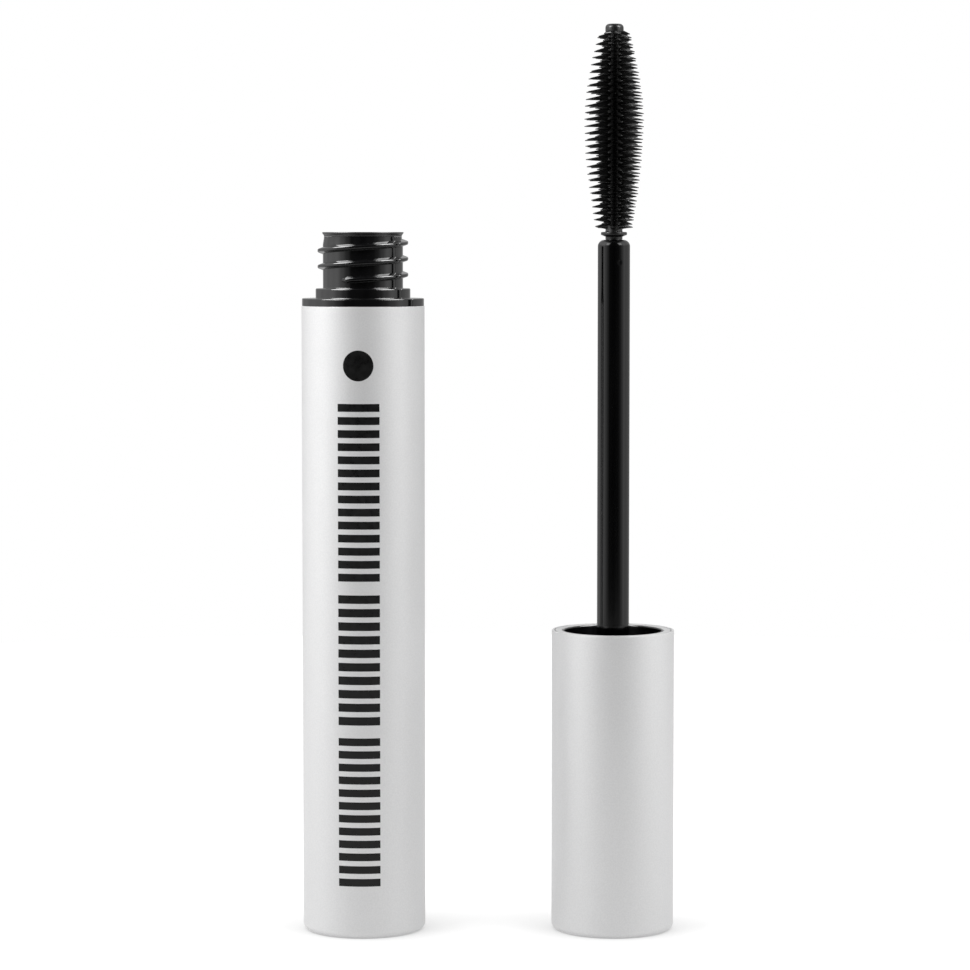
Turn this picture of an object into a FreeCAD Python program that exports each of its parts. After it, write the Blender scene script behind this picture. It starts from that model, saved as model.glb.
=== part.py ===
import FreeCAD, Part
import math
import os
import Sketcher

# A mascara tube, opened and set down: the bottle stands upright on the left, and the
# applicator stands beside it on the closed end of its cap, with the brush pointing up.
# Frame: millimetres, +Z up, origin on the table midway between the two, front towards -Y.

DRIVING_SIZES = {
    "axis_offset": 16.55,           # from the origin to the axis of either half
    "outer_radius": 8.0,            # sleeve and cap share one diameter
    "edge_round": 0.8,
    "slip_gap": 0.05,               # radial gap between nested pieces
    # bottle
    "sleeve_height": 83.0,
    "sleeve_wall": 0.45,
    "sleeve_base": 0.5,
    "reservoir_radius": 6.5,
    "reservoir_floor": 1.3,
    "reservoir_roof": 80.0,
    "shoulder_depth": 2.4,
    "flange_radius": 7.95,
    "flange_height": 1.0,
    "ring_radius": 6.25,
    "ring_height": 1.3,
    "neck_radius": 5.2,
    "neck_bore": 4.1,
    "neck_height": 6.8,
    # thread, the same helix for the neck and the cap
    "thread_pitch": 2.1,
    "thread_depth": 0.7,
    "thread_root_width": 1.1,
    "thread_crest_width": 0.5,
    "thread_bite": 0.1,             # how far a ridge is sunk into its wall
    "neck_thread_start": -114.0,    # degrees round from +X
    "neck_thread_height": 3.1,      # of the ridge above the flange, where it crosses +X
    "neck_thread_turns": 2.35,
    "cap_thread_turns": 1.3,
    # wiper
    "wiper_flange_radius": 5.3,
    "wiper_flange_height": 0.58,
    "wiper_seat_gap": 0.02,
    "wiper_wall": 0.75,
    "wiper_length": 8.6,
    "throat_radius": 2.175,
    "throat_length": 1.5,
    "funnel_depth": 0.8,
    "throat_flare": 1.0,
    # product
    "product_gap": 0.3,
    "product_bottom": 5.9,
    "product_top": 58.0,
    "product_hole": 4.4,
    "bead_radius": 2.1,
    "bead_height": 1.2,
    "bead_drop": 0.9,               # from the mouth down to the top of the bead
    # applicator
    "cap_height": 40.0,
    "cap_wall": 1.1,
    "cap_end": 1.2,
    "cap_recess": 0.4,              # inner cap's rim below the shell's rim
    "cap_bore": 6.15,
    "cap_mouth": 6.45,
    "cap_mouth_depth": 1.4,
    "cap_web": 29.9,                # top of the web that the neck stops against
    "cap_web_thickness": 2.0,
    "cap_skirt_bottom": 14.0,
    "cap_skirt_wall": 0.8,
    "boss_radius": 4.2,
    "seal_thickness": 1.4,
    "closing_gap": 0.1,             # between the cap's rim and the flange when closed
    "rod_radius": 2.125,
    "rod_root_radius": 1.9,
    "rod_root": 15.0,
    "rod_end": 91.3,
    "rod_shoulder": 0.9,
    "rod_bore": 1.0,
    "stake_radius": 0.45,
    "stake_drop": 3.3,              # stake mark below the rod's end
    "stake_azimuth": -75.0,
    # brush
    "shank_gap": 0.02,
    "shank_length": 8.0,
    "core_radius": 1.15,
    "collar_radius": 1.72,
    "collar_height": 0.4,
    "collar_lift": 0.6,             # collar above the rod's end
    "bristle_start": 1.8,           # first row above the rod's end
    "bristle_length": 25.5,
    "bristle_rows": 29.0,
    "bristle_thickness": 0.34,
    "envelope_base": 2.55,
    "envelope_middle": 4.0,
    "envelope_tip": 2.2,
    "envelope_peak": 0.55,          # widest place, as a fraction of the length from the base
    "knob_radius": 1.2,
    "knob_height": 1.03,
    "knob_flat": 0.35,
}


def make_sheet(doc):
    """The driving dimensions, one alias per row."""
    sheet = doc.addObject("Spreadsheet::Sheet", "Sizes")
    for row, (alias, value) in enumerate(DRIVING_SIZES.items(), start=1):
        sheet.set("A%d" % row, alias)
        sheet.set("B%d" % row, str(value))
        sheet.setAlias("B%d" % row, alias)
    doc.recompute()
    return sheet


def cell(text):
    """An expression written with bare aliases, turned into one that reads the sheet."""
    for alias in sorted(DRIVING_SIZES, key=len, reverse=True):
        text = text.replace(alias, "<" + str(list(DRIVING_SIZES).index(alias)) + ">")
    for index, alias in enumerate(DRIVING_SIZES):
        text = text.replace("<" + str(index) + ">", "Sizes." + alias)
    return text


def value_of(owner, text):
    """The number that an expression of the sheet gives now."""
    result = owner.evalExpression(cell(text))
    return float(getattr(result, "Value", result))


def origin_plane(body, role):
    for feature in body.Origin.OriginFeatures:
        if feature.Role == role:
            return feature
    raise RuntimeError("no plane " + role)


def make_body(doc, label, x_expression):
    """A body whose local Z axis is the axis of the bottle or of the applicator."""
    body = doc.addObject("PartDesign::Body", label)
    body.Label = label
    body.setExpression("Placement.Base.x", cell(x_expression))
    return body


def make_sketch(body, name, turn=None):
    """A sketch in the body's XZ plane, turned about Z when turn is given in degrees."""
    sketch = body.newObject("Sketcher::SketchObject", name)
    sketch.AttachmentSupport = [(origin_plane(body, "XZ_Plane"), "")]
    sketch.MapMode = "FlatFace"
    if turn is not None:
        angle = value_of(sketch, turn)
        rotation = FreeCAD.Rotation(FreeCAD.Vector(0, 1, 0), angle)
        sketch.AttachmentOffset = FreeCAD.Placement(FreeCAD.Vector(), rotation)
    return sketch


def draw_outline(sketch, corners):
    """A closed outline. Each corner is a pair of expressions: radius, height."""
    points = []
    for radius, height in corners:
        points.append(FreeCAD.Vector(value_of(sketch, radius), value_of(sketch, height), 0))
    count = len(points)
    for index in range(count):
        line = Part.LineSegment(points[index], points[(index + 1) % count])
        sketch.addGeometry(line, False)
    for index in range(count):
        joint = Sketcher.Constraint("Coincident", index, 2, (index + 1) % count, 1)
        sketch.addConstraint(joint)
    for index, (radius, height) in enumerate(corners):
        fix_coordinate(sketch, index, "DistanceX", radius, points[index].x)
        fix_coordinate(sketch, index, "DistanceY", height, points[index].y)


def fix_coordinate(sketch, index, kind, text, value):
    """Ties one coordinate of a corner to the sheet, or puts it on the axis when it is zero."""
    if text == "0":
        axis = -2 if kind == "DistanceX" else -1
        sketch.addConstraint(Sketcher.Constraint("PointOnObject", index, 1, axis))
        return
    number = sketch.addConstraint(Sketcher.Constraint(kind, -1, 1, index, 1, value))
    sketch.setExpression("Constraints[%d]" % number, cell(text))


def revolve(body, name, corners):
    """A full turn of an outline about the body's Z axis."""
    sketch = make_sketch(body, name + "Outline")
    draw_outline(sketch, corners)
    feature = body.newObject("PartDesign::Revolution", name)
    feature.Profile = sketch
    feature.ReferenceAxis = (sketch, ["V_Axis"])
    feature.Angle = 360.0
    return feature


def round_edges(doc, body, name, base, size, wanted):
    """Rounds the circular edges for which wanted(radius, height) is true."""
    doc.recompute()
    names = []
    for index, edge in enumerate(base.Shape.Edges, start=1):
        curve = edge.Curve
        if isinstance(curve, Part.Circle) and wanted(curve.Radius, curve.Center.z):
            names.append("Edge%d" % index)
    if not names:
        raise RuntimeError("no edge to round on " + name)
    fillet = body.newObject("PartDesign::Fillet", name)
    fillet.Base = (base, names)
    fillet.setExpression("Radius", cell(size))
    return fillet


def add_thread(body, name, corners, turns, turn=None):
    """A helical ridge, swept from an outline in the turned XZ plane."""
    sketch = make_sketch(body, name + "Profile", turn)
    draw_outline(sketch, corners)
    helix = body.newObject("PartDesign::AdditiveHelix", name)
    helix.Profile = sketch
    helix.ReferenceAxis = (sketch, ["V_Axis"])
    helix.Mode = "pitch-turns-angle"
    helix.setExpression("Pitch", cell("thread_pitch"))
    helix.setExpression("Turns", cell(turns))
    return helix


# Heights that several pieces share, as expressions of the sheet.
FLANGE_TOP = "(sleeve_height + flange_height)"
RING_TOP = "(sleeve_height + flange_height + ring_height)"
NECK_TOP = "(sleeve_height + flange_height + ring_height + neck_height)"
WIPER_SEAT = "(" + NECK_TOP + " + wiper_seat_gap)"
MOUTH = "(" + WIPER_SEAT + " + wiper_flange_height)"
CLOSED_STACK = "(" + FLANGE_TOP + " + cap_height + closing_gap)"
HALF_ROOT = "thread_root_width / 2"
HALF_CREST = "thread_crest_width / 2"


def make_sleeve(doc):
    """The outer tube of the bottle, with a closed base."""
    body = make_body(doc, "bottle_sleeve", "-axis_offset")
    shell = revolve(body, "SleeveShell", [
        ("0", "0"),
        ("outer_radius", "0"),
        ("outer_radius", "sleeve_height"),
        ("outer_radius - sleeve_wall", "sleeve_height"),
        ("outer_radius - sleeve_wall", "sleeve_base"),
        ("0", "sleeve_base"),
    ])
    outer = DRIVING_SIZES["outer_radius"]
    round_edges(doc, body, "SleeveEdge", shell, "edge_round",
                lambda radius, height: abs(radius - outer) < 0.01 and abs(height) < 0.01)
    return body


def make_bottle(doc):
    """The inner bottle: reservoir, flange, stepped ring and threaded neck, in one moulding."""
    body = make_body(doc, "inner_bottle", "-axis_offset")
    bottle_radius = "outer_radius - sleeve_wall - slip_gap"
    revolve(body, "BottleWall", [
        ("0", "sleeve_base + slip_gap"),
        (bottle_radius, "sleeve_base + slip_gap"),
        (bottle_radius, "sleeve_height"),
        ("flange_radius", "sleeve_height"),
        ("flange_radius", FLANGE_TOP),
        ("ring_radius", FLANGE_TOP),
        ("ring_radius", RING_TOP),
        ("neck_radius", RING_TOP),
        ("neck_radius", NECK_TOP),
        ("neck_bore", NECK_TOP),
        ("neck_bore", "reservoir_roof + shoulder_depth"),
        ("reservoir_radius", "reservoir_roof"),
        ("reservoir_radius", "reservoir_floor"),
        ("0", "reservoir_floor"),
    ])
    start = FLANGE_TOP + " + neck_thread_height + thread_pitch * neck_thread_start / 360"
    add_thread(body, "NeckThread", [
        ("neck_radius - thread_bite", start + " - " + HALF_ROOT),
        ("neck_radius", start + " - " + HALF_ROOT),
        ("neck_radius + thread_depth", start + " - " + HALF_CREST),
        ("neck_radius + thread_depth", start + " + " + HALF_CREST),
        ("neck_radius", start + " + " + HALF_ROOT),
        ("neck_radius - thread_bite", start + " + " + HALF_ROOT),
    ], "neck_thread_turns", "neck_thread_start")
    return body


def make_wiper(doc):
    """The soft insert that wipes the brush: flange on the rim, funnel, throat and skirt."""
    body = make_body(doc, "wiper", "-axis_offset")
    outer = "neck_bore - slip_gap"
    inner = "neck_bore - slip_gap - wiper_wall"
    throat_top = MOUTH + " - funnel_depth"
    throat_bottom = throat_top + " - throat_length"
    revolve(body, "WiperWall", [
        ("throat_radius", throat_top),
        (inner, MOUTH),
        ("wiper_flange_radius", MOUTH),
        ("wiper_flange_radius", WIPER_SEAT),
        (outer, WIPER_SEAT),
        (outer, WIPER_SEAT + " - wiper_length"),
        (inner, WIPER_SEAT + " - wiper_length"),
        (inner, throat_bottom + " - throat_flare"),
        ("throat_radius", throat_bottom),
    ])
    return body


def make_product(doc):
    """The mascara paste, with the hole that the brush leaves in it."""
    body = make_body(doc, "mascara_product", "-axis_offset")
    revolve(body, "Paste", [
        ("product_hole", "product_bottom"),
        ("reservoir_radius - product_gap", "product_bottom"),
        ("reservoir_radius - product_gap", "product_top"),
        ("product_hole", "product_top"),
    ])
    return body


def make_bead(doc):
    """The bead of product that stays across the wiper's throat."""
    bead = doc.addObject("Part::Cylinder", "product_bead")
    bead.Label = "product_bead"
    bead.setExpression("Radius", cell("bead_radius"))
    bead.setExpression("Height", cell("bead_height"))
    bead.setExpression("Placement.Base.x", cell("-axis_offset"))
    bead.setExpression("Placement.Base.z", cell(MOUTH + " - bead_drop - bead_height"))
    return bead


def make_cap_shell(doc):
    """The outer shell of the cap, closed end down."""
    body = make_body(doc, "cap_shell", "axis_offset")
    shell = revolve(body, "CapShell", [
        ("0", "0"),
        ("outer_radius", "0"),
        ("outer_radius", "cap_height"),
        ("outer_radius - cap_wall", "cap_height"),
        ("outer_radius - cap_wall", "cap_end"),
        ("0", "cap_end"),
    ])
    outer = DRIVING_SIZES["outer_radius"]
    round_edges(doc, body, "CapEdge", shell, "edge_round",
                lambda radius, height: abs(radius - outer) < 0.01 and abs(height) < 0.01)
    return body


def make_inner_cap(doc):
    """The threaded liner of the cap, with the web and the boss that hold the rod."""
    body = make_body(doc, "inner_cap", "axis_offset")
    outer = "outer_radius - cap_wall - slip_gap"
    skirt = outer + " - cap_skirt_wall"
    rim = "cap_height - cap_recess"
    web_bottom = "cap_web - cap_web_thickness"
    revolve(body, "LinerWall", [
        ("rod_root_radius + shank_gap", "cap_skirt_bottom"),
        ("boss_radius", "cap_skirt_bottom"),
        ("boss_radius", web_bottom),
        (skirt, web_bottom),
        (skirt, "cap_skirt_bottom"),
        (outer, "cap_skirt_bottom"),
        (outer, rim),
        ("cap_mouth", rim),
        ("cap_mouth", rim + " - cap_mouth_depth"),
        ("cap_bore", rim + " - cap_mouth_depth"),
        ("cap_bore", "cap_web"),
        ("rod_root_radius + shank_gap", "cap_web"),
    ])
    # The cap's ridge lies half a pitch from the neck's when the neck is turned over into it.
    middle = CLOSED_STACK + " - " + FLANGE_TOP + " - neck_thread_height - 2 * thread_pitch"
    add_thread(body, "CapThread", [
        ("cap_bore + thread_bite", middle + " - " + HALF_ROOT),
        ("cap_bore", middle + " - " + HALF_ROOT),
        ("cap_bore - thread_depth", middle + " - " + HALF_CREST),
        ("cap_bore - thread_depth", middle + " + " + HALF_CREST),
        ("cap_bore", middle + " + " + HALF_ROOT),
        ("cap_bore + thread_bite", middle + " + " + HALF_ROOT),
    ], "cap_thread_turns")
    return body


def make_cap_seal(doc):
    """The gasket against the web, which the neck's rim closes on."""
    body = make_body(doc, "cap_seal", "axis_offset")
    revolve(body, "Gasket", [
        ("rod_radius + slip_gap", "cap_web + wiper_seat_gap"),
        ("cap_bore - slip_gap", "cap_web + wiper_seat_gap"),
        ("cap_bore - slip_gap", "cap_web + seal_thickness"),
        ("rod_radius + slip_gap", "cap_web + seal_thickness"),
    ])
    return body


def make_rod(doc):
    """The hollow wand: a root in the boss, a shoulder on the web and a rounded free end."""
    body = make_body(doc, "rod", "axis_offset")
    wall = revolve(body, "RodWall", [
        ("rod_bore", "rod_root"),
        ("rod_root_radius", "rod_root"),
        ("rod_root_radius", "cap_web"),
        ("rod_radius", "cap_web"),
        ("rod_radius", "rod_end"),
        ("rod_bore", "rod_end"),
    ])
    radius = DRIVING_SIZES["rod_radius"]
    end = DRIVING_SIZES["rod_end"]
    rounded = round_edges(doc, body, "RodShoulder", wall, "rod_shoulder",
                          lambda size, height: abs(size - radius) < 0.01 and abs(height - end) < 0.01)
    mark = body.newObject("PartDesign::SubtractiveSphere", "StakeMark")
    mark.setExpression("Radius", cell("stake_radius"))
    azimuth = math.radians(DRIVING_SIZES["stake_azimuth"])
    place = FreeCAD.Vector(radius * math.cos(azimuth), radius * math.sin(azimuth),
                           end - DRIVING_SIZES["stake_drop"])
    mark.Placement = FreeCAD.Placement(place, FreeCAD.Rotation())
    return body


def envelope_radius(fraction):
    """Radius of the bristles' spindle at a fraction of its length from the base."""
    peak = DRIVING_SIZES["envelope_peak"]
    middle = DRIVING_SIZES["envelope_middle"]
    if fraction < peak:
        end = DRIVING_SIZES["envelope_base"]
        rise = fraction / peak
    else:
        end = DRIVING_SIZES["envelope_tip"]
        rise = (1.0 - fraction) / (1.0 - peak)
    return end + (middle - end) * math.sin(rise * math.pi / 2)


def brush_outline(size):
    """Half of the brush's section, shank to knob, with a thin fin for every bristle row."""
    end = size["rod_end"]
    collar = end + size["collar_lift"]
    first = end + size["bristle_start"]
    spacing = size["bristle_length"] / (size["bristle_rows"] - 1)
    core = size["core_radius"]
    half = size["bristle_thickness"] / 2
    shank = size["rod_bore"] - size["shank_gap"]
    points = [
        (0, end - size["shank_length"]),
        (shank, end - size["shank_length"]),
        (shank, end + size["shank_gap"]),
        (core, end + size["shank_gap"]),
        (core, collar - size["collar_height"] / 2),
        (size["collar_radius"], collar),
        (size["collar_radius"], collar + size["collar_height"]),
        (core, collar + size["collar_height"]),
    ]
    for row in range(int(size["bristle_rows"])):
        height = first + row * spacing
        radius = envelope_radius(row / (size["bristle_rows"] - 1))
        points.append((core, height - half))
        points.append((radius, height - half / 3))
        points.append((radius, height + half / 3))
        points.append((core, height + half))
    knob = first + size["bristle_length"] + half
    points.append((size["knob_radius"], knob))
    return points, knob


def make_brush(doc):
    """The moulded brush: shank, collar, core, bristle rows and domed end knob."""
    size = DRIVING_SIZES
    points, knob = brush_outline(size)
    corners = [FreeCAD.Vector(radius, 0, height) for radius, height in points]
    radius = size["knob_radius"]
    top = knob + size["knob_height"]
    side_top = FreeCAD.Vector(radius, 0, knob + size["knob_height"] / 2)
    between = FreeCAD.Vector(radius * 0.82, 0, knob + size["knob_height"] * 0.83)
    flat_edge = FreeCAD.Vector(size["knob_flat"], 0, top)
    edges = Part.makePolygon(corners + [side_top]).Edges
    edges.append(Part.Arc(side_top, between, flat_edge).toShape())
    edges.append(Part.makeLine(flat_edge, FreeCAD.Vector(0, 0, top)))
    edges.append(Part.makeLine(FreeCAD.Vector(0, 0, top), corners[0]))
    face = Part.Face(Part.Wire(edges))
    brush = doc.addObject("Part::Feature", "brush")
    brush.Label = "brush"
    brush.Shape = face.revolve(FreeCAD.Vector(), FreeCAD.Vector(0, 0, 1), 360)
    brush.Placement = FreeCAD.Placement(FreeCAD.Vector(size["axis_offset"], 0, 0), FreeCAD.Rotation())
    return brush


def check(doc, parts):
    """Stops when a feature failed or a piece isn't one valid solid."""
    for item in doc.Objects:
        if "Invalid" in item.State or "Error" in item.State:
            raise RuntimeError("failed feature: " + item.Name)
    for part in parts:
        shape = part.Shape
        if shape.isNull() or not shape.isValid() or len(shape.Solids) != 1:
            raise RuntimeError("bad solid: " + part.Label)
        print("%-16s %9.2f mm3" % (part.Label, shape.Volume))


def main():
    doc = FreeCAD.newDocument("MascaraTube")
    make_sheet(doc)
    makers = [make_sleeve, make_bottle, make_wiper, make_product, make_bead, make_cap_shell,
              make_inner_cap, make_cap_seal, make_rod, make_brush]
    parts = [maker(doc) for maker in makers]
    doc.recompute()
    check(doc, parts)
    os.makedirs("parts", exist_ok=True)
    for part in parts:
        part.Shape.exportStep(os.path.join("parts", part.Label + ".step"))


main()
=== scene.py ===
import math
import random

import bpy
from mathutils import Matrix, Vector


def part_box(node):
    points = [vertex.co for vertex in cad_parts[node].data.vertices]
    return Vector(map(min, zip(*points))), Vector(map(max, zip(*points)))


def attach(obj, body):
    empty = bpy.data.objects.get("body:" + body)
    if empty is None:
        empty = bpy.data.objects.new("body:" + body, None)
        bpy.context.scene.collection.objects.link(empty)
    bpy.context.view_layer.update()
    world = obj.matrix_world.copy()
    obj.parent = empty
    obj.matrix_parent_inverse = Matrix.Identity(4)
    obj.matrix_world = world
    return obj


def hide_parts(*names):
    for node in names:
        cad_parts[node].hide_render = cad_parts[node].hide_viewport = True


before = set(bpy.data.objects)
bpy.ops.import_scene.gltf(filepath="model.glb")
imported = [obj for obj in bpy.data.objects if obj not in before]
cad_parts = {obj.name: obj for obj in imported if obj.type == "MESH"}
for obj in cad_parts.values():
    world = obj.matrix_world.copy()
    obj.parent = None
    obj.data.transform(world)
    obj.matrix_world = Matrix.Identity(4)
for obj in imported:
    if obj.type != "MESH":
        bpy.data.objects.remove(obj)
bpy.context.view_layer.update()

# An opened mascara tube: the bottle stands at the left, the applicator at the right, brush up.
# Metres, +Z up, front towards -Y. Small sizes are written in millimetres and scaled by MM.
MM = 0.001
FULL_TURN = 2 * math.pi


def middle_x(node):
    """Where a node's upright axis crosses the X axis, in metres."""
    low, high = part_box(node)
    return (low[0] + high[0]) / 2


def heights(node):
    """A node's lowest and highest points, in millimetres."""
    low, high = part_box(node)
    return low[2] / MM, high[2] / MM


BOTTLE_X = middle_x("bottle_sleeve")
APPLICATOR_X = middle_x("cap_shell")
SLEEVE_TOP = heights("bottle_sleeve")[1]
NECK_TOP = heights("inner_bottle")[1]
WIPER_BOTTOM, MOUTH = heights("wiper")
CAP_TOP = heights("cap_shell")[1]
ROD_ROOT = heights("rod")[0]
ROD_END = heights("rod")[1] + 0.4
SHANK_END = heights("brush")[0]
BRUSH_TOP = heights("brush")[1] + 0.15
LINER_BOTTOM, LINER_TOP = heights("inner_cap")
BEAD_BOTTOM, BEAD_TOP = heights("product_bead")

OUTER_RADIUS = 8.12
SLIP = 0.05             # between a shell and the moulding inside it
SLEEVE_WALL = 0.45
CAP_WALL = 1.35

# the moulded bottle
FLANGE_RADIUS = 8.05
FLANGE_HEIGHT = 1.0
RING_RADIUS = 6.25
RING_HEIGHT = 1.3
NECK_RADIUS = 5.28
NECK_LIP_RADIUS = 5.14
NECK_BORE = 4.1
RESERVOIR_RADIUS = 6.5
RESERVOIR_FLOOR = 1.3
RESERVOIR_ROOF = 80.0
SHOULDER = 82.4         # where the reservoir's roof meets the neck's bore
PARTING_AZIMUTH = math.radians(-34.5)

# the wiper
THROAT_RADIUS = 2.175
WIPER_RADIUS = 4.05
WIPER_SEAT = MOUTH - 0.58

# the cap's liner
BOSS_RADIUS = 4.2
SKIRT_BORE = 6.05
CAP_BORE = 6.15
CAP_MOUTH = 6.45
WEB_BOTTOM = 27.9
WEB_TOP = 29.9
CAP_THREAD_AT_X = 32.8
CAP_THREAD_TURNS = 1.3

# the rod
ROD_RADIUS = 2.125
ROD_ROOT_RADIUS = 1.9
ROD_BORE = 1.0
STAKE_AZIMUTH = math.radians(-72)
STAKE_HEIGHT = ROD_END - 3.0

# the thread, with the height of the neck's ridge where it crosses +X
PITCH = 2.1
THREAD_DEPTH = 0.7
THREAD_START = math.radians(-119)
THREAD_TURNS = 2.38
THREAD_AT_X = SLEEVE_TOP + FLANGE_HEIGHT + 3.1
THREAD_FADE = math.radians(9)

# the brush
CORE_RADIUS = 1.12
ROWS = 29
COLUMNS = 13
FIRST_COLUMN = math.radians(173.1)
STAGGERED = (2, 4, 6, 8, 10, 11)
BRISTLES_START = ROD_END + 1.8
BRISTLES_LENGTH = 25.25


# ---------------------------------------------------------------- mesh helpers

def smooth_step(low, high, value):
    """0 below low, 1 above high and a smooth rise between them."""
    part = min(1.0, max(0.0, (value - low) / (high - low)))
    return part * part * (3 - 2 * part)


def rounded(corners, steps=6):
    """Outline points from (radius, height, rounding) corners, each rounding drawn as an arc."""
    points = []
    count = len(corners)
    for index, (x, z, rounding) in enumerate(corners):
        here = Vector((x, z))
        if rounding <= 0:
            points.append((x, z))
            continue
        before = Vector(corners[index - 1][:2])
        after = Vector(corners[(index + 1) % count][:2])
        to_before = (before - here).normalized()
        to_after = (after - here).normalized()
        half = to_before.angle(to_after) / 2
        reach = rounding / math.tan(half)
        start = here + to_before * reach
        end = here + to_after * reach
        centre = here + (to_before + to_after).normalized() * (rounding / math.sin(half))
        first = start - centre
        sweep = first.angle_signed(end - centre)
        for step in range(steps + 1):
            angle = -sweep * step / steps
            turned = Vector((first.x * math.cos(angle) - first.y * math.sin(angle),
                             first.x * math.sin(angle) + first.y * math.cos(angle)))
            points.append(tuple(centre + turned))
    return points


def dense(start, end, spacing):
    """Points on a straight stretch of outline, no further apart than spacing."""
    length = math.dist(start, end)
    count = max(1, math.ceil(length / spacing))
    points = []
    for step in range(count + 1):
        part = step / count
        points.append((start[0] + (end[0] - start[0]) * part, start[1] + (end[1] - start[1]) * part))
    return points


def add_object(name, vertices, faces, material, sharp_degrees=40):
    """A smooth-shaded mesh object that keeps the edges sharper than an angle."""
    mesh = bpy.data.meshes.new(name)
    mesh.from_pydata(vertices, [], faces)
    mesh.validate()
    mesh.update()
    for polygon in mesh.polygons:
        polygon.use_smooth = True
    mesh.set_sharp_from_angle(angle=math.radians(sharp_degrees))
    piece = bpy.data.objects.new(name, mesh)
    bpy.context.collection.objects.link(piece)
    mesh.materials.append(material)
    return piece


def lathe_mesh(outline, axis_x, segments, swell=None):
    """Vertices and faces of a closed outline turned about a vertical axis.

    A point on the axis makes a pole, and swell(angle, radius, height) moves a point outward.
    """
    vertices = []
    rings = []
    for radius, height in outline:
        if radius < 1e-6:
            rings.append([len(vertices)])
            vertices.append((axis_x, 0.0, height * MM))
            continue
        ring = []
        for step in range(segments):
            angle = FULL_TURN * step / segments
            reach = radius + (swell(angle, radius, height) if swell else 0.0)
            ring.append(len(vertices))
            vertices.append((axis_x + reach * MM * math.cos(angle), reach * MM * math.sin(angle),
                             height * MM))
        rings.append(ring)
    faces = []
    for index, ring in enumerate(rings):
        other = rings[(index + 1) % len(rings)]
        if len(ring) == 1 and len(other) == 1:
            continue
        for step in range(segments):
            after = (step + 1) % segments
            if len(ring) == 1:
                faces.append((ring[0], other[after], other[step]))
            elif len(other) == 1:
                faces.append((ring[step], ring[after], other[0]))
            else:
                faces.append((ring[step], ring[after], other[after], other[step]))
    return vertices, faces


def lathe(name, outline, axis_x, material, segments, swell=None):
    """A turned piece."""
    vertices, faces = lathe_mesh(outline, axis_x, segments, swell)
    return add_object(name, vertices, faces, material)


# ---------------------------------------------------------------- materials

def new_material(name, colour, metallic, roughness):
    """A material with its tree and its shader, to add variation to."""
    material = bpy.data.materials.new(name)
    material.use_nodes = True
    shader = material.node_tree.nodes["Principled BSDF"]
    shader.inputs["Base Color"].default_value = (*colour, 1)
    shader.inputs["Metallic"].default_value = metallic
    shader.inputs["Roughness"].default_value = roughness
    return material, material.node_tree, shader


def place_noise(tree, scale, detail, roughness=0.5, stretch=None):
    """A noise texture in object coordinates, stretched along each axis when asked."""
    coordinates = tree.nodes.new("ShaderNodeTexCoord")
    noise = tree.nodes.new("ShaderNodeTexNoise")
    noise.inputs["Scale"].default_value = scale
    noise.inputs["Detail"].default_value = detail
    noise.inputs["Roughness"].default_value = roughness
    source = coordinates.outputs["Object"]
    if stretch:
        mapping = tree.nodes.new("ShaderNodeMapping")
        mapping.inputs["Scale"].default_value = stretch
        tree.links.new(source, mapping.inputs["Vector"])
        source = mapping.outputs["Vector"]
    tree.links.new(source, noise.inputs["Vector"])
    return noise


def vary_colour(tree, shader, noise, dark, light):
    """Base colour that follows a noise from dark to light."""
    ramp = tree.nodes.new("ShaderNodeValToRGB")
    ramp.color_ramp.elements[0].position = 0.35
    ramp.color_ramp.elements[0].color = (*dark, 1)
    ramp.color_ramp.elements[1].position = 0.65
    ramp.color_ramp.elements[1].color = (*light, 1)
    tree.links.new(noise.outputs["Fac"], ramp.inputs["Fac"])
    tree.links.new(ramp.outputs["Color"], shader.inputs["Base Color"])


def vary_roughness(tree, shader, noise, low, high):
    """Roughness that follows a noise from low to high."""
    spread = tree.nodes.new("ShaderNodeMapRange")
    spread.inputs["From Min"].default_value = 0.3
    spread.inputs["From Max"].default_value = 0.7
    spread.inputs["To Min"].default_value = low
    spread.inputs["To Max"].default_value = high
    tree.links.new(noise.outputs["Fac"], spread.inputs["Value"])
    tree.links.new(spread.outputs["Result"], shader.inputs["Roughness"])


def add_bump(tree, shader, noise, strength, distance):
    """Fine relief from a noise, its distance in metres."""
    bump = tree.nodes.new("ShaderNodeBump")
    bump.inputs["Strength"].default_value = strength
    bump.inputs["Distance"].default_value = distance
    tree.links.new(noise.outputs["Fac"], bump.inputs["Height"])
    tree.links.new(bump.outputs["Normal"], shader.inputs["Normal"])


def silver_lacquer():
    """Satin pearl lacquer: fine flakes under a soft, even sheen."""
    material, tree, shader = new_material("silver_lacquer", (0.8, 0.8, 0.803), 0.62, 0.54)
    flakes = place_noise(tree, 5200, 2, 0.6)
    vary_colour(tree, shader, flakes, (0.72, 0.72, 0.723), (0.76, 0.76, 0.762))
    cloud = place_noise(tree, 160, 3)
    vary_roughness(tree, shader, cloud, 0.51, 0.57)
    add_bump(tree, shader, flakes, 0.035, 0.00001)
    return material


def black_gloss():
    """Moulded black plastic with a faint unevenness in its gloss."""
    material, tree, shader = new_material("black_gloss_plastic", (0.001, 0.001, 0.001), 0.0, 0.07)
    flow = place_noise(tree, 420, 3, 0.55, (1, 1, 0.35))
    vary_colour(tree, shader, flow, (0.0006, 0.0006, 0.0007), (0.0014, 0.0014, 0.0015))
    vary_roughness(tree, shader, flow, 0.055, 0.09)
    add_bump(tree, shader, flow, 0.04, 0.00002)
    return material


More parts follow.
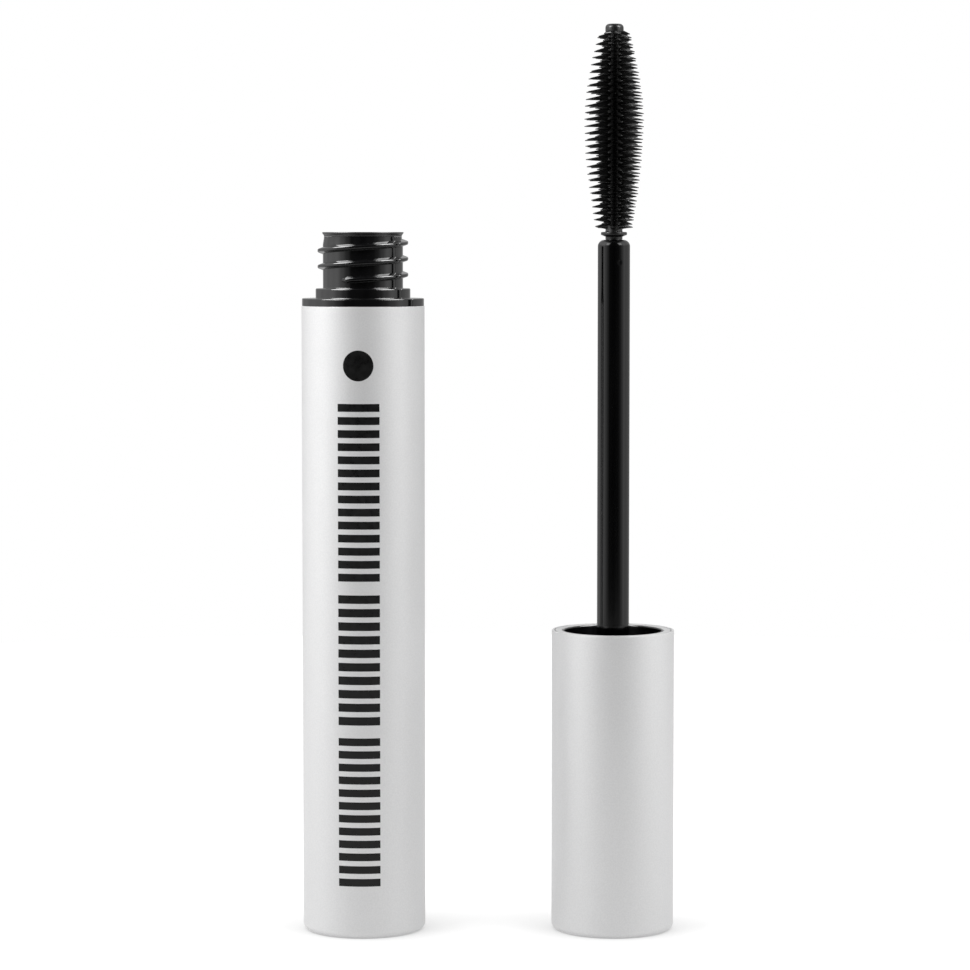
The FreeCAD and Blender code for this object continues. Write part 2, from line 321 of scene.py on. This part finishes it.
def black_rod():
    """Drawn black plastic of the wand, with long faint flow lines."""
    material, tree, shader = new_material("black_rod_plastic", (0.001, 0.001, 0.001), 0.0, 0.1)
    shader.inputs["Specular IOR Level"].default_value = 0.38
    flow = place_noise(tree, 900, 3, 0.55, (1, 1, 0.04))
    vary_colour(tree, shader, flow, (0.0006, 0.0006, 0.0007), (0.0016, 0.0016, 0.0017))
    vary_roughness(tree, shader, flow, 0.08, 0.13)
    add_bump(tree, shader, flow, 0.05, 0.00002)
    return material


def black_elastomer():
    """Satin elastomer of the brush and the wiper."""
    material, tree, shader = new_material("black_elastomer", (0.006, 0.006, 0.006), 0.0, 0.28)
    grain = place_noise(tree, 2600, 3)
    vary_colour(tree, shader, grain, (0.002, 0.002, 0.002), (0.004, 0.004, 0.004))
    vary_roughness(tree, shader, grain, 0.28, 0.38)
    add_bump(tree, shader, grain, 0.1, 0.00001)
    return material


def mascara_paste():
    """Wet black paste, glossy and slightly lumpy."""
    material, tree, shader = new_material("mascara_paste", (0.004, 0.0035, 0.004), 0.0, 0.2)
    lumps = place_noise(tree, 900, 4)
    vary_colour(tree, shader, lumps, (0.003, 0.0028, 0.003), (0.008, 0.007, 0.008))
    vary_roughness(tree, shader, lumps, 0.14, 0.3)
    add_bump(tree, shader, lumps, 0.4, 0.00008)
    return material


def seal_foam():
    """Pale foam liner with a fine cell pattern."""
    material, tree, shader = new_material("seal_foam", (0.7, 0.7, 0.68), 0.0, 0.8)
    cells = place_noise(tree, 3200, 4, 0.7)
    vary_colour(tree, shader, cells, (0.6, 0.6, 0.58), (0.74, 0.74, 0.72))
    vary_roughness(tree, shader, cells, 0.7, 0.9)
    add_bump(tree, shader, cells, 0.3, 0.00004)
    return material


def print_ink():
    """Screen-printed black ink with a slightly uneven satin film."""
    material, tree, shader = new_material("print_ink", (0.004, 0.004, 0.004), 0.0, 0.3)
    shader.inputs["Specular IOR Level"].default_value = 0.3
    film = place_noise(tree, 1400, 3)
    vary_colour(tree, shader, film, (0.003, 0.003, 0.003), (0.006, 0.006, 0.006))
    vary_roughness(tree, shader, film, 0.26, 0.36)
    add_bump(tree, shader, film, 0.06, 0.00001)
    return material


SILVER = silver_lacquer()
GLOSS = black_gloss()
ROD = black_rod()
ELASTOMER = black_elastomer()
PASTE = mascara_paste()
FOAM = seal_foam()
INK = print_ink()


# ---------------------------------------------------------------- bottle

def make_sleeve():
    """The lacquered sleeve, with a soft bottom edge and a shallow dished base."""
    inside = OUTER_RADIUS - SLEEVE_WALL
    outline = rounded([
        (0, 0.25, 0),
        (5.8, 0.25, 0.15),
        (6.3, 0.0, 0.3),
        (OUTER_RADIUS, 0.0, 0.8),
        (OUTER_RADIUS, SLEEVE_TOP, 0.09),
        (inside, SLEEVE_TOP, 0.05),
        (inside, 0.5, 0.2),
        (0, 0.5, 0),
    ])
    piece = lathe("sleeve", outline, BOTTLE_X, SILVER, 256)
    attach(piece, "bottle")
    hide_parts("bottle_sleeve")


def parting_groove(angle, radius):
    """Depth of the mould's parting line, which runs down two sides of the moulding."""
    depth = 0.0
    for parting in (PARTING_AZIMUTH, PARTING_AZIMUTH + math.pi):
        away = abs((angle - parting + math.pi) % FULL_TURN - math.pi) * radius
        depth += 0.07 * (1 - smooth_step(0.03, 0.13, away))
    return depth


def neck_swell(angle, radius, height):
    """The parting line, on the outside of the flange, the ring and the neck only."""
    if height < SLEEVE_TOP or radius < NECK_LIP_RADIUS - 0.01:
        return 0.0
    return -parting_groove(angle, radius)


def add_thread(vertices, faces, axis_x, wall, height_at_x, start, turns, way):
    """A rounded ridge swept up a wall of that radius, outward or inward, with faded ends."""
    profile = rounded([
        (-0.15, -0.47, 0),
        (0.0, -0.45, 0),
        (THREAD_DEPTH, -0.19, 0.17),
        (THREAD_DEPTH, 0.19, 0.17),
        (0.0, 0.45, 0),
        (-0.15, 0.47, 0),
    ])
    steps = round(turns * 360)
    first = len(vertices)
    for step in range(steps + 1):
        travelled = turns * FULL_TURN * step / steps
        angle = start + travelled
        ends = smooth_step(-0.02, THREAD_FADE, travelled)
        ends *= smooth_step(-0.02, THREAD_FADE, turns * FULL_TURN - travelled)
        centre = height_at_x + PITCH * angle / FULL_TURN
        groove = parting_groove(angle, wall) if way > 0 else 0.0
        for rise, offset in profile:
            reach = wall + way * (max(rise, 0.0) * ends + min(rise, 0.0)) - groove
            height = centre + offset * (0.4 + 0.6 * ends)
            vertices.append((axis_x + reach * MM * math.cos(angle), reach * MM * math.sin(angle),
                             height * MM))
    count = len(profile)
    for step in range(steps):
        low = first + step * count
        high = low + count
        for index in range(count):
            after = (index + 1) % count
            quad = (low + index, high + index, high + after, low + after)
            faces.append(quad if way > 0 else quad[::-1])
    last = first + steps * count
    caps = (tuple(range(first, first + count)), tuple(range(last + count - 1, last - 1, -1)))
    for cap in caps:
        faces.append(cap if way > 0 else cap[::-1])


def make_bottle_moulding():
    """The black bottle: reservoir in the sleeve, flange, stepped ring and threaded neck."""
    flange_top = SLEEVE_TOP + FLANGE_HEIGHT
    ring_top = flange_top + RING_HEIGHT
    body_radius = OUTER_RADIUS - SLEEVE_WALL - SLIP
    lower = rounded([
        (0, 0.55, 0),
        (body_radius, 0.55, 0.2),
        (body_radius, SLEEVE_TOP, 0),
        (FLANGE_RADIUS, SLEEVE_TOP, 0.05),
        (FLANGE_RADIUS, flange_top, 0.13),
        (RING_RADIUS, flange_top, 0.1),
        (RING_RADIUS, ring_top, 0.16),
        (NECK_RADIUS, ring_top, 0.12),
        (NECK_RADIUS, ring_top + 1, 0),
    ])[:-1]
    neck = [(NECK_RADIUS, ring_top + 0.2), (NECK_RADIUS, NECK_TOP - 1.1),
            (NECK_RADIUS - 0.02, NECK_TOP - 0.9), (NECK_LIP_RADIUS, NECK_TOP - 0.2)]
    inside = rounded([
        (NECK_LIP_RADIUS - 0.2, NECK_TOP, 0),
        (NECK_BORE, NECK_TOP, 0.1),
        (NECK_BORE, SHOULDER, 0.4),
        (RESERVOIR_RADIUS, RESERVOIR_ROOF, 0.6),
        (RESERVOIR_RADIUS, RESERVOIR_FLOOR, 0.4),
        (0, RESERVOIR_FLOOR, 0),
    ])
    outline = lower + neck + [(NECK_LIP_RADIUS, NECK_TOP)] + inside[1:]
    vertices, faces = lathe_mesh(outline, BOTTLE_X, 512, neck_swell)
    add_thread(vertices, faces, BOTTLE_X, NECK_RADIUS, THREAD_AT_X, THREAD_START, THREAD_TURNS, 1)
    piece = add_object("bottle_moulding", vertices, faces, GLOSS, 50)
    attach(piece, "bottle")
    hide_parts("inner_bottle")


def make_wiper():
    """The wiper: a thin flared flange on the rim, a funnel and the throat below it."""
    outline = rounded([
        (THROAT_RADIUS, MOUTH - 0.8, 0.2),
        (3.3, MOUTH, 0.25),
        (5.36, MOUTH, 0.07),
        (5.36, MOUTH - 0.14, 0.06),
        (NECK_LIP_RADIUS, MOUTH - 0.42, 0.1),
        (NECK_LIP_RADIUS, WIPER_SEAT, 0.02),
        (WIPER_RADIUS, WIPER_SEAT, 0.1),
        (WIPER_RADIUS, WIPER_BOTTOM, 0.2),
        (3.3, WIPER_BOTTOM, 0.2),
        (3.3, MOUTH - 3.3, 0.4),
        (THROAT_RADIUS, MOUTH - 2.3, 0.3),
    ])
    piece = lathe("wiper_moulding", outline, BOTTLE_X, ELASTOMER, 192)
    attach(piece, "wiper_insert")
    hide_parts("wiper")


def make_bead():
    """The lens of product across the throat, hollowed by surface tension on both faces."""
    radius = 2.1
    dip = 0.28
    steps = 12
    outline = [(0, BEAD_BOTTOM + dip)]
    for step in range(1, steps + 1):
        part = step / steps
        outline.append((radius * part, BEAD_BOTTOM + dip * (1 - part ** 2)))
    for step in range(steps, 0, -1):
        part = step / steps
        outline.append((radius * part, BEAD_TOP - dip * (1 - part ** 2)))
    outline.append((0, BEAD_TOP - dip))
    piece = lathe("bead_lens", outline, BOTTLE_X, PASTE, 96)
    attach(piece, "bead")
    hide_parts("product_bead")


# ---------------------------------------------------------------- print

PRINT_PROUD = 0.012     # and as much sunk into the lacquer
DOT_TURN = math.radians(-2.7)
DOT_RADIUS = 2.0
DOT_DROP = 7.65         # from the sleeve's top to the dot's middle
DOT_STEPS = 64
DOT_RINGS = 10
BAR_TURN = math.radians(-2.6)
BAR_HALF_WIDTH = 2.78
BAR_STEPS = 14
BAR_GAP = 0.68
BAR_GROUPS = (
    # from the sleeve's top, length of the group, bars in it
    (12.6, 23.2, 14),
    (37.6, 17.1, 10),
    (56.4, 19.6, 12),
)


def on_sleeve(across, height, proud, turn):
    """A point of the sleeve's front, across millimetres round from the print's middle line."""
    angle = -math.pi / 2 + turn + across / OUTER_RADIUS
    reach = (OUTER_RADIUS + proud) * MM
    return (BOTTLE_X + reach * math.cos(angle), reach * math.sin(angle), height * MM)


def curved_disc(vertices, faces, height):
    """A closed round dot of ink bent round the sleeve."""
    sides = []
    for proud in (PRINT_PROUD, -PRINT_PROUD):
        sides.append(len(vertices))
        vertices.append(on_sleeve(0, height, proud, DOT_TURN))
        for ring in range(1, DOT_RINGS + 1):
            radius = DOT_RADIUS * (ring / DOT_RINGS)
            for step in range(DOT_STEPS):
                angle = FULL_TURN * step / DOT_STEPS
                vertices.append(on_sleeve(radius * math.cos(angle), height + radius * math.sin(angle),
                                          proud, DOT_TURN))
    for side, first in enumerate(sides):
        for step in range(DOT_STEPS):
            after = (step + 1) % DOT_STEPS
            fan = (first, first + 1 + step, first + 1 + after)
            faces.append(fan if side == 0 else fan[::-1])
            for ring in range(DOT_RINGS - 1):
                inner = first + 1 + ring * DOT_STEPS
                outer = inner + DOT_STEPS
                quad = (inner + step, outer + step, outer + after, inner + after)
                faces.append(quad if side == 0 else quad[::-1])
    rim = 1 + (DOT_RINGS - 1) * DOT_STEPS
    for step in range(DOT_STEPS):
        after = (step + 1) % DOT_STEPS
        faces.append((sides[0] + rim + step, sides[1] + rim + step,
                      sides[1] + rim + after, sides[0] + rim + after))


def curved_bar(vertices, faces, low, high):
    """One closed bar of ink bent round the sleeve."""
    base = len(vertices)
    for proud in (PRINT_PROUD, -PRINT_PROUD):
        for height in (low, high):
            for step in range(BAR_STEPS + 1):
                across = BAR_HALF_WIDTH * (2 * step / BAR_STEPS - 1)
                vertices.append(on_sleeve(across, height, proud, BAR_TURN))
    row = BAR_STEPS + 1
    for step in range(BAR_STEPS):
        outer_low = base + step
        outer_high = outer_low + row
        inner_low = outer_high + row
        inner_high = inner_low + row
        faces.append((outer_low, outer_low + 1, outer_high + 1, outer_high))
        faces.append((inner_low, inner_high, inner_high + 1, inner_low + 1))
        faces.append((outer_low, inner_low, inner_low + 1, outer_low + 1))
        faces.append((outer_high, outer_high + 1, inner_high + 1, inner_high))
    for step, flip in ((0, False), (BAR_STEPS, True)):
        end = (base + step, base + row + step, base + 3 * row + step, base + 2 * row + step)
        faces.append(end[::-1] if flip else end)


def make_print():
    """A plain dot and a column of plain bars in three groups, in place of lettering."""
    vertices = []
    faces = []
    curved_disc(vertices, faces, SLEEVE_TOP - DOT_DROP)
    for drop, length, bars in BAR_GROUPS:
        pitch = (length + BAR_GAP) / bars
        for index in range(bars):
            high = SLEEVE_TOP - drop - index * pitch
            curved_bar(vertices, faces, high - pitch + BAR_GAP, high)
    piece = add_object("sleeve_print", vertices, faces, INK)
    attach(piece, "bottle")


# ---------------------------------------------------------------- applicator

def make_cap_outer():
    """The cap's lacquered shell, standing on its closed end, with a fine groove in its rim."""
    inside = OUTER_RADIUS - CAP_WALL
    groove_outside = OUTER_RADIUS - 0.3
    groove_inside = OUTER_RADIUS - 0.52
    groove_floor = CAP_TOP - 0.3
    outline = rounded([
        (0, 0.2, 0),
        (6.0, 0.2, 0.15),
        (6.4, 0.0, 0.3),
        (OUTER_RADIUS, 0.0, 0.8),
        (OUTER_RADIUS, CAP_TOP, 0.1),
        (groove_outside, CAP_TOP, 0.04),
        (groove_outside, groove_floor, 0.04),
        (groove_inside, groove_floor, 0.04),
        (groove_inside, CAP_TOP, 0.04),
        (inside, CAP_TOP, 0.12),
        (inside, 1.2, 0.3),
        (0, 1.2, 0),
    ])
    piece = lathe("cap_outer", outline, APPLICATOR_X, SILVER, 256)
    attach(piece, "applicator")
    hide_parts("cap_shell")


def make_cap_liner():
    """The black threaded liner in the cap, with the web and boss that hold the rod."""
    outer = OUTER_RADIUS - CAP_WALL - SLIP
    rod_hole = ROD_ROOT_RADIUS + 0.02
    rim = CAP_TOP - 0.04
    mouth_step = LINER_TOP - 1.4
    outline = rounded([
        (rod_hole, LINER_BOTTOM, 0.1),
        (BOSS_RADIUS, LINER_BOTTOM, 0.2),
        (BOSS_RADIUS, WEB_BOTTOM, 0.3),
        (SKIRT_BORE, WEB_BOTTOM, 0.3),
        (SKIRT_BORE, LINER_BOTTOM, 0.1),
        (outer, LINER_BOTTOM, 0.1),
        (outer, rim, 0.08),
        (CAP_MOUTH, rim, 0.16),
        (CAP_MOUTH, mouth_step, 0.1),
        (CAP_BORE, mouth_step, 0.08),
        (CAP_BORE, WEB_TOP, 0.2),
        (rod_hole, WEB_TOP, 0.05),
    ])
    vertices, faces = lathe_mesh(outline, APPLICATOR_X, 256)
    add_thread(vertices, faces, APPLICATOR_X, CAP_BORE, CAP_THREAD_AT_X, 0, CAP_THREAD_TURNS, -1)
    piece = add_object("cap_liner", vertices, faces, GLOSS, 50)
    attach(piece, "applicator")
    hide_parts("inner_cap")


def stake_dent(angle, radius, height):
    """The small round dent where the rod is staked onto the brush's shank."""
    if abs(radius - ROD_RADIUS) > 0.01:
        return 0.0
    across = abs((angle - STAKE_AZIMUTH + math.pi) % FULL_TURN - math.pi) * radius
    away = math.hypot(across, height - STAKE_HEIGHT)
    return -0.05 * (1 - smooth_step(0.0, 0.5, away))


def make_rod():
    """The glossy wand, hollow, with a rounded free end that the brush comes out of."""
    side = dense((ROD_RADIUS, WEB_TOP + 0.5), (ROD_RADIUS, STAKE_HEIGHT - 0.7), 4)
    side += dense((ROD_RADIUS, STAKE_HEIGHT - 0.6), (ROD_RADIUS, STAKE_HEIGHT + 0.6), 0.06)
    side += dense((ROD_RADIUS, STAKE_HEIGHT + 0.7), (ROD_RADIUS, ROD_END - 1.0), 0.5)
    root = rounded([
        (ROD_BORE, ROD_ROOT, 0),
        (ROD_ROOT_RADIUS, ROD_ROOT, 0.15),
        (ROD_ROOT_RADIUS, WEB_TOP, 0),
        (ROD_RADIUS, WEB_TOP, 0.08),
        (ROD_RADIUS, WEB_TOP + 0.4, 0),
    ])
    end = rounded([
        (ROD_RADIUS, ROD_END - 0.95, 0),
        (ROD_RADIUS, ROD_END, 0.88),
        (ROD_BORE, ROD_END, 0.08),
        (ROD_BORE, ROD_ROOT + 0.1, 0),
    ], 12)[1:]
    piece = lathe("rod_moulding", root + side + end, APPLICATOR_X, ROD, 160, stake_dent)
    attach(piece, "applicator")
    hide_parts("rod")


def envelope(part):
    """Radius of the bristles' spindle at a part of its length, from the rod's end."""
    peak, base, middle, tip = 0.55, 2.55, 4.0, 2.2
    if part < peak:
        return base + (middle - base) * math.sin(part / peak * math.pi / 2)
    return tip + (middle - tip) * math.sin((1 - part) / (1 - peak) * math.pi / 2)


BRISTLE_SIDES = 8
BRISTLE_RINGS = 6
BRISTLE_ROOT_RADIUS = 0.43
BRISTLE_TIP_RADIUS = 0.06
BRISTLE_SINK = 0.15     # how far a root is sunk into the core


def add_bristle(vertices, faces, root, outward, reach, droop):
    """One moulded spike: broad at the core, drawn to a fine blunt point that droops a little."""
    side = Vector((-outward.y, outward.x, 0))
    up = Vector((0, 0, 1))
    base = len(vertices)
    taper = BRISTLE_ROOT_RADIUS - BRISTLE_TIP_RADIUS
    for ring in range(BRISTLE_RINGS + 1):
        part = ring / BRISTLE_RINGS
        radius = BRISTLE_TIP_RADIUS + taper * (1 - part)
        centre = root + outward * (reach * part) - up * (droop * part ** 1.5)
        for step in range(BRISTLE_SIDES):
            angle = FULL_TURN * step / BRISTLE_SIDES
            offset = side * (math.cos(angle) * radius * 0.9) + up * (math.sin(angle) * radius)
            vertices.append(tuple((centre + offset) * MM))
    for ring in range(BRISTLE_RINGS):
        for step in range(BRISTLE_SIDES):
            after = (step + 1) % BRISTLE_SIDES
            low = base + ring * BRISTLE_SIDES
            high = low + BRISTLE_SIDES
            faces.append((low + step, high + step, high + after, low + after))
    faces.append(tuple(base + step for step in range(BRISTLE_SIDES)))
    tip = root + outward * (reach + BRISTLE_TIP_RADIUS) - up * droop
    vertices.append(tuple(tip * MM))
    last = base + BRISTLE_RINGS * BRISTLE_SIDES
    for step in range(BRISTLE_SIDES):
        faces.append((last + step, len(vertices) - 1, last + (step + 1) % BRISTLE_SIDES))


def make_brush():
    """The moulded brush: collar, core and staggered rows of tapered bristles."""
    collar = ROD_END + 0.6
    knob = BRUSH_TOP - 1.03
    core = rounded([
        (0, SHANK_END, 0),
        (0.98, SHANK_END, 0.1),
        (0.98, ROD_END, 0),
        (CORE_RADIUS, ROD_END + 0.02, 0),
        (CORE_RADIUS, collar - 0.2, 0.1),
        (1.72, collar + 0.05, 0.1),
        (1.72, collar + 0.4, 0.12),
        (CORE_RADIUS, collar + 0.45, 0.12),
        (CORE_RADIUS, knob - 0.05, 0.05),
        (1.2, knob, 0.05),
        (1.2, BRUSH_TOP, 0.5),
        (0, BRUSH_TOP, 0),
    ])
    vertices, faces = lathe_mesh(core, APPLICATOR_X, 64)
    rng = random.Random(7)
    spacing = BRISTLES_LENGTH / (ROWS - 0.5)
    root_reach = CORE_RADIUS - BRISTLE_SINK
    for column in range(COLUMNS):
        angle = FIRST_COLUMN + FULL_TURN * column / COLUMNS
        outward = Vector((math.cos(angle), math.sin(angle), 0))
        shift = 0.5 if column in STAGGERED else 0.0
        for row in range(ROWS):
            along = (row + shift) * spacing
            part = min(1.0, along / BRISTLES_LENGTH)
            root = Vector((APPLICATOR_X / MM, 0, BRISTLES_START + along)) + outward * root_reach
            reach = envelope(part) - root_reach - BRISTLE_TIP_RADIUS
            reach *= 1 + rng.uniform(-0.03, 0.0)
            droop = 0.08 * reach + rng.uniform(-0.1, 0.1)
            add_bristle(vertices, faces, root, outward, reach, droop)
    piece = add_object("brush_moulding", vertices, faces, ELASTOMER, 60)
    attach(piece, "applicator")
    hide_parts("brush")


def finish_cad_nodes():
    """The hidden product and the liner's seal keep their CAD shape and get real materials."""
    for node, material in (("mascara_product", PASTE), ("cap_seal", FOAM)):
        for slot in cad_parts[node].material_slots:
            slot.material = material


# ---------------------------------------------------------------- stage

FLOOR_RADIUS = 0.34
FLOOR_STEPS = 128
# the floor glows for the camera and, more weakly, for the light it sends to the pieces; within
# CONTACT_SHADOW_REACH metres of whatever stands on it, the camera's glow dims towards
# FLOOR_GLOW_AT_CONTACT, a painted contact shadow
FLOOR_GLOW_FOR_CAMERA = 0.78
FLOOR_GLOW_FOR_LIGHT = 0.45
FLOOR_GLOW_AT_CONTACT = 0.26
CONTACT_SHADOW_REACH = 0.012


def make_floor():
    """A plain white round table top that glows, small enough to leave the room before it goes dark;
    the glow the camera sees dims near whatever stands on it, a painted contact shadow.
    """
    vertices = []
    for step in range(FLOOR_STEPS):
        angle = FULL_TURN * step / FLOOR_STEPS
        vertices.append((FLOOR_RADIUS * math.cos(angle), FLOOR_RADIUS * math.sin(angle), 0))
    material, tree, shader = new_material("table_white", (0.35, 0.35, 0.35), 0.0, 0.9)
    shader.inputs["Specular IOR Level"].default_value = 0.0
    shader.inputs["Emission Color"].default_value = (1, 1, 1, 1)
    path = tree.nodes.new("ShaderNodeLightPath")
    glow = tree.nodes.new("ShaderNodeMapRange")
    # ambient occlusion dims the glow the camera sees near whatever stands on the floor: a painted
    # contact shadow
    painted_shadow_occlusion = tree.nodes.new("ShaderNodeAmbientOcclusion")
    painted_shadow_occlusion.samples = 16
    painted_shadow_occlusion.inputs["Distance"].default_value = CONTACT_SHADOW_REACH
    painted_shadow_glow = tree.nodes.new("ShaderNodeMapRange")
    painted_shadow_glow.inputs["To Min"].default_value = FLOOR_GLOW_AT_CONTACT
    painted_shadow_glow.inputs["To Max"].default_value = FLOOR_GLOW_FOR_CAMERA
    tree.links.new(painted_shadow_occlusion.outputs["AO"], painted_shadow_glow.inputs["Value"])
    glow.inputs["To Min"].default_value = FLOOR_GLOW_FOR_LIGHT
    tree.links.new(painted_shadow_glow.outputs["Result"], glow.inputs["To Max"])
    tree.links.new(path.outputs["Is Camera Ray"], glow.inputs["Value"])
    tree.links.new(glow.outputs["Result"], shader.inputs["Emission Strength"])
    floor = add_object("table", vertices, [tuple(range(FLOOR_STEPS))], material)


def make_light(name, place, aim, size, power):
    """A soft box turned towards a point."""
    data = bpy.data.lights.new(name, "AREA")
    data.shape = "RECTANGLE"
    data.size, data.size_y = size
    data.energy = power
    light = bpy.data.objects.new(name, data)
    light.location = place
    light.rotation_euler = (Vector(aim) - Vector(place)).to_track_quat("-Z", "Y").to_euler()
    bpy.context.collection.objects.link(light)
    return light


ROOM_LIGHT = (
    # degrees round from the camera's side, to the left below zero; brightness near the horizon
    (-180, 0.50), (-150, 0.42), (-124, 0.85), (-97, 1.40), (-78, 1.70), (-60, 1.00), (-44, 0.40),
    (-31, 0.05), (0, 0.02), (31, 0.05), (44, 0.20), (60, 0.70), (77, 1.35), (97, 0.95),
    (124, 0.62), (150, 0.40), (180, 0.50),
)


def room_ramp(tree, value, low, high, start, end):
    """Smoothly rising or falling share of the light as a direction's component goes low to high."""
    spread = tree.nodes.new("ShaderNodeMapRange")
    spread.interpolation_type = "SMOOTHSTEP"
    spread.inputs["From Min"].default_value = low
    spread.inputs["From Max"].default_value = high
    spread.inputs["To Min"].default_value = start
    spread.inputs["To Max"].default_value = end
    tree.links.new(value, spread.inputs["Value"])
    return spread.outputs["Result"]


def room_math(tree, operation, first, second):
    """One step of arithmetic on sockets or numbers."""
    node = tree.nodes.new("ShaderNodeMath")
    node.operation = operation
    for socket, value in zip(node.inputs, (first, second)):
        if isinstance(value, (int, float)):
            socket.default_value = value
        else:
            tree.links.new(value, socket)
    return node.outputs["Value"]


def make_world():
    """A white studio: soft light from both sides and behind, dark on the camera's side."""
    world = bpy.data.worlds.new("studio")
    bpy.context.scene.world = world
    world.use_nodes = True
    tree = world.node_tree
    nodes = tree.nodes
    links = tree.links
    nodes.clear()
    coordinates = nodes.new("ShaderNodeTexCoord")
    split = nodes.new("ShaderNodeSeparateXYZ")
    links.new(coordinates.outputs["Generated"], split.inputs["Vector"])
    toward = room_math(tree, "MULTIPLY", split.outputs["Y"], -1.0)
    azimuth = room_math(tree, "ARCTAN2", split.outputs["X"], toward)
    around = nodes.new("ShaderNodeMapRange")
    around.inputs["From Min"].default_value = -math.pi
    around.inputs["From Max"].default_value = math.pi
    links.new(azimuth, around.inputs["Value"])
    ramp = nodes.new("ShaderNodeValToRGB")
    ramp.color_ramp.interpolation = "EASE"
    stops = ramp.color_ramp.elements
    while len(stops) < len(ROOM_LIGHT):
        stops.new(0.5)
    for stop, (degrees, brightness) in zip(stops, ROOM_LIGHT):
        stop.position = (degrees + 180) / 360
        stop.color = (brightness / 2, brightness / 2, brightness / 2, 1)
    links.new(around.outputs["Result"], ramp.inputs["Fac"])
    up = split.outputs["Z"]
    level = room_math(tree, "MULTIPLY", ramp.outputs["Color"], 2.0)
    level = room_math(tree, "MULTIPLY", level, room_ramp(tree, up, 0.12, 0.4, 1.0, 1.7))
    level = room_math(tree, "MULTIPLY", level, room_ramp(tree, up, 0.75, 0.95, 1.0, 0.35))
    room = nodes.new("ShaderNodeBackground")
    links.new(level, room.inputs["Strength"])
    white = nodes.new("ShaderNodeBackground")
    white.inputs["Strength"].default_value = 1.0
    white.inputs["Color"].default_value = (1, 1, 1, 1)
    room.inputs["Color"].default_value = (1, 1, 1, 1)
    path = nodes.new("ShaderNodeLightPath")
    mix = nodes.new("ShaderNodeMixShader")
    links.new(path.outputs["Is Camera Ray"], mix.inputs["Fac"])
    links.new(room.outputs["Background"], mix.inputs[1])
    links.new(white.outputs["Background"], mix.inputs[2])
    output = nodes.new("ShaderNodeOutputWorld")
    links.new(mix.outputs["Shader"], output.inputs["Surface"])


def make_camera():
    """A long lens a little above the caps, looking slightly down."""
    data = bpy.data.cameras.new("camera")
    data.lens = 126.2
    data.sensor_width = 36
    data.clip_start = 0.01
    data.clip_end = 50
    camera = bpy.data.objects.new("camera", data)
    camera.location = (-0.00045, -0.4495, 0.0915)
    camera.rotation_euler = (math.radians(90 - 4.1), 0, 0)
    bpy.context.collection.objects.link(camera)
    bpy.context.scene.camera = camera


LAMP_AIM = 0.09
LAMP_DISTANCE = 0.8
GLOSSY_PIECES = ("bottle_moulding", "wiper_moulding", "cap_liner")
BRUSH_PIECES = ("brush_moulding",)
LAMPS = (
    # name, degrees round from the camera's side, degrees up, size in metres, watts, what it lights
    ("left_key", -50, 38, (0.30, 0.45), 1.9, None),
    ("right_key", 50, 38, (0.30, 0.45), 1.9, None),
    ("left_gleam", -68, 38, (0.52, 0.56), 23.0, GLOSSY_PIECES),
    ("right_gleam", 70, 38, (0.52, 0.56), 20.0, GLOSSY_PIECES),
    ("left_glint", -62, 28, (0.10, 0.16), 4.0, BRUSH_PIECES),
    ("right_glint", 62, 28, (0.10, 0.16), 4.0, BRUSH_PIECES),
)


def make_stage():
    """The table, the room, the camera and the lamps, some of which light the black parts only."""
    make_floor()
    make_world()
    make_camera()
    for name, round_by, height, size, power, receivers in LAMPS:
        level = LAMP_DISTANCE * math.cos(math.radians(height))
        place = (level * math.sin(math.radians(round_by)), -level * math.cos(math.radians(round_by)),
                 LAMP_AIM + LAMP_DISTANCE * math.sin(math.radians(height)))
        lamp = make_light(name, place, (0, 0, LAMP_AIM), size, power)
        if receivers:
            lit = bpy.data.collections.new("lit_by_" + name)
            for piece in receivers:
                lit.objects.link(bpy.data.objects[piece])
            lamp.light_linking.receiver_collection = lit
    bpy.context.scene.view_settings.view_transform = "Standard"


make_sleeve()
make_bottle_moulding()
make_wiper()
make_bead()
make_print()
make_cap_outer()
make_cap_liner()
make_rod()
make_brush()
finish_cad_nodes()
make_stage()
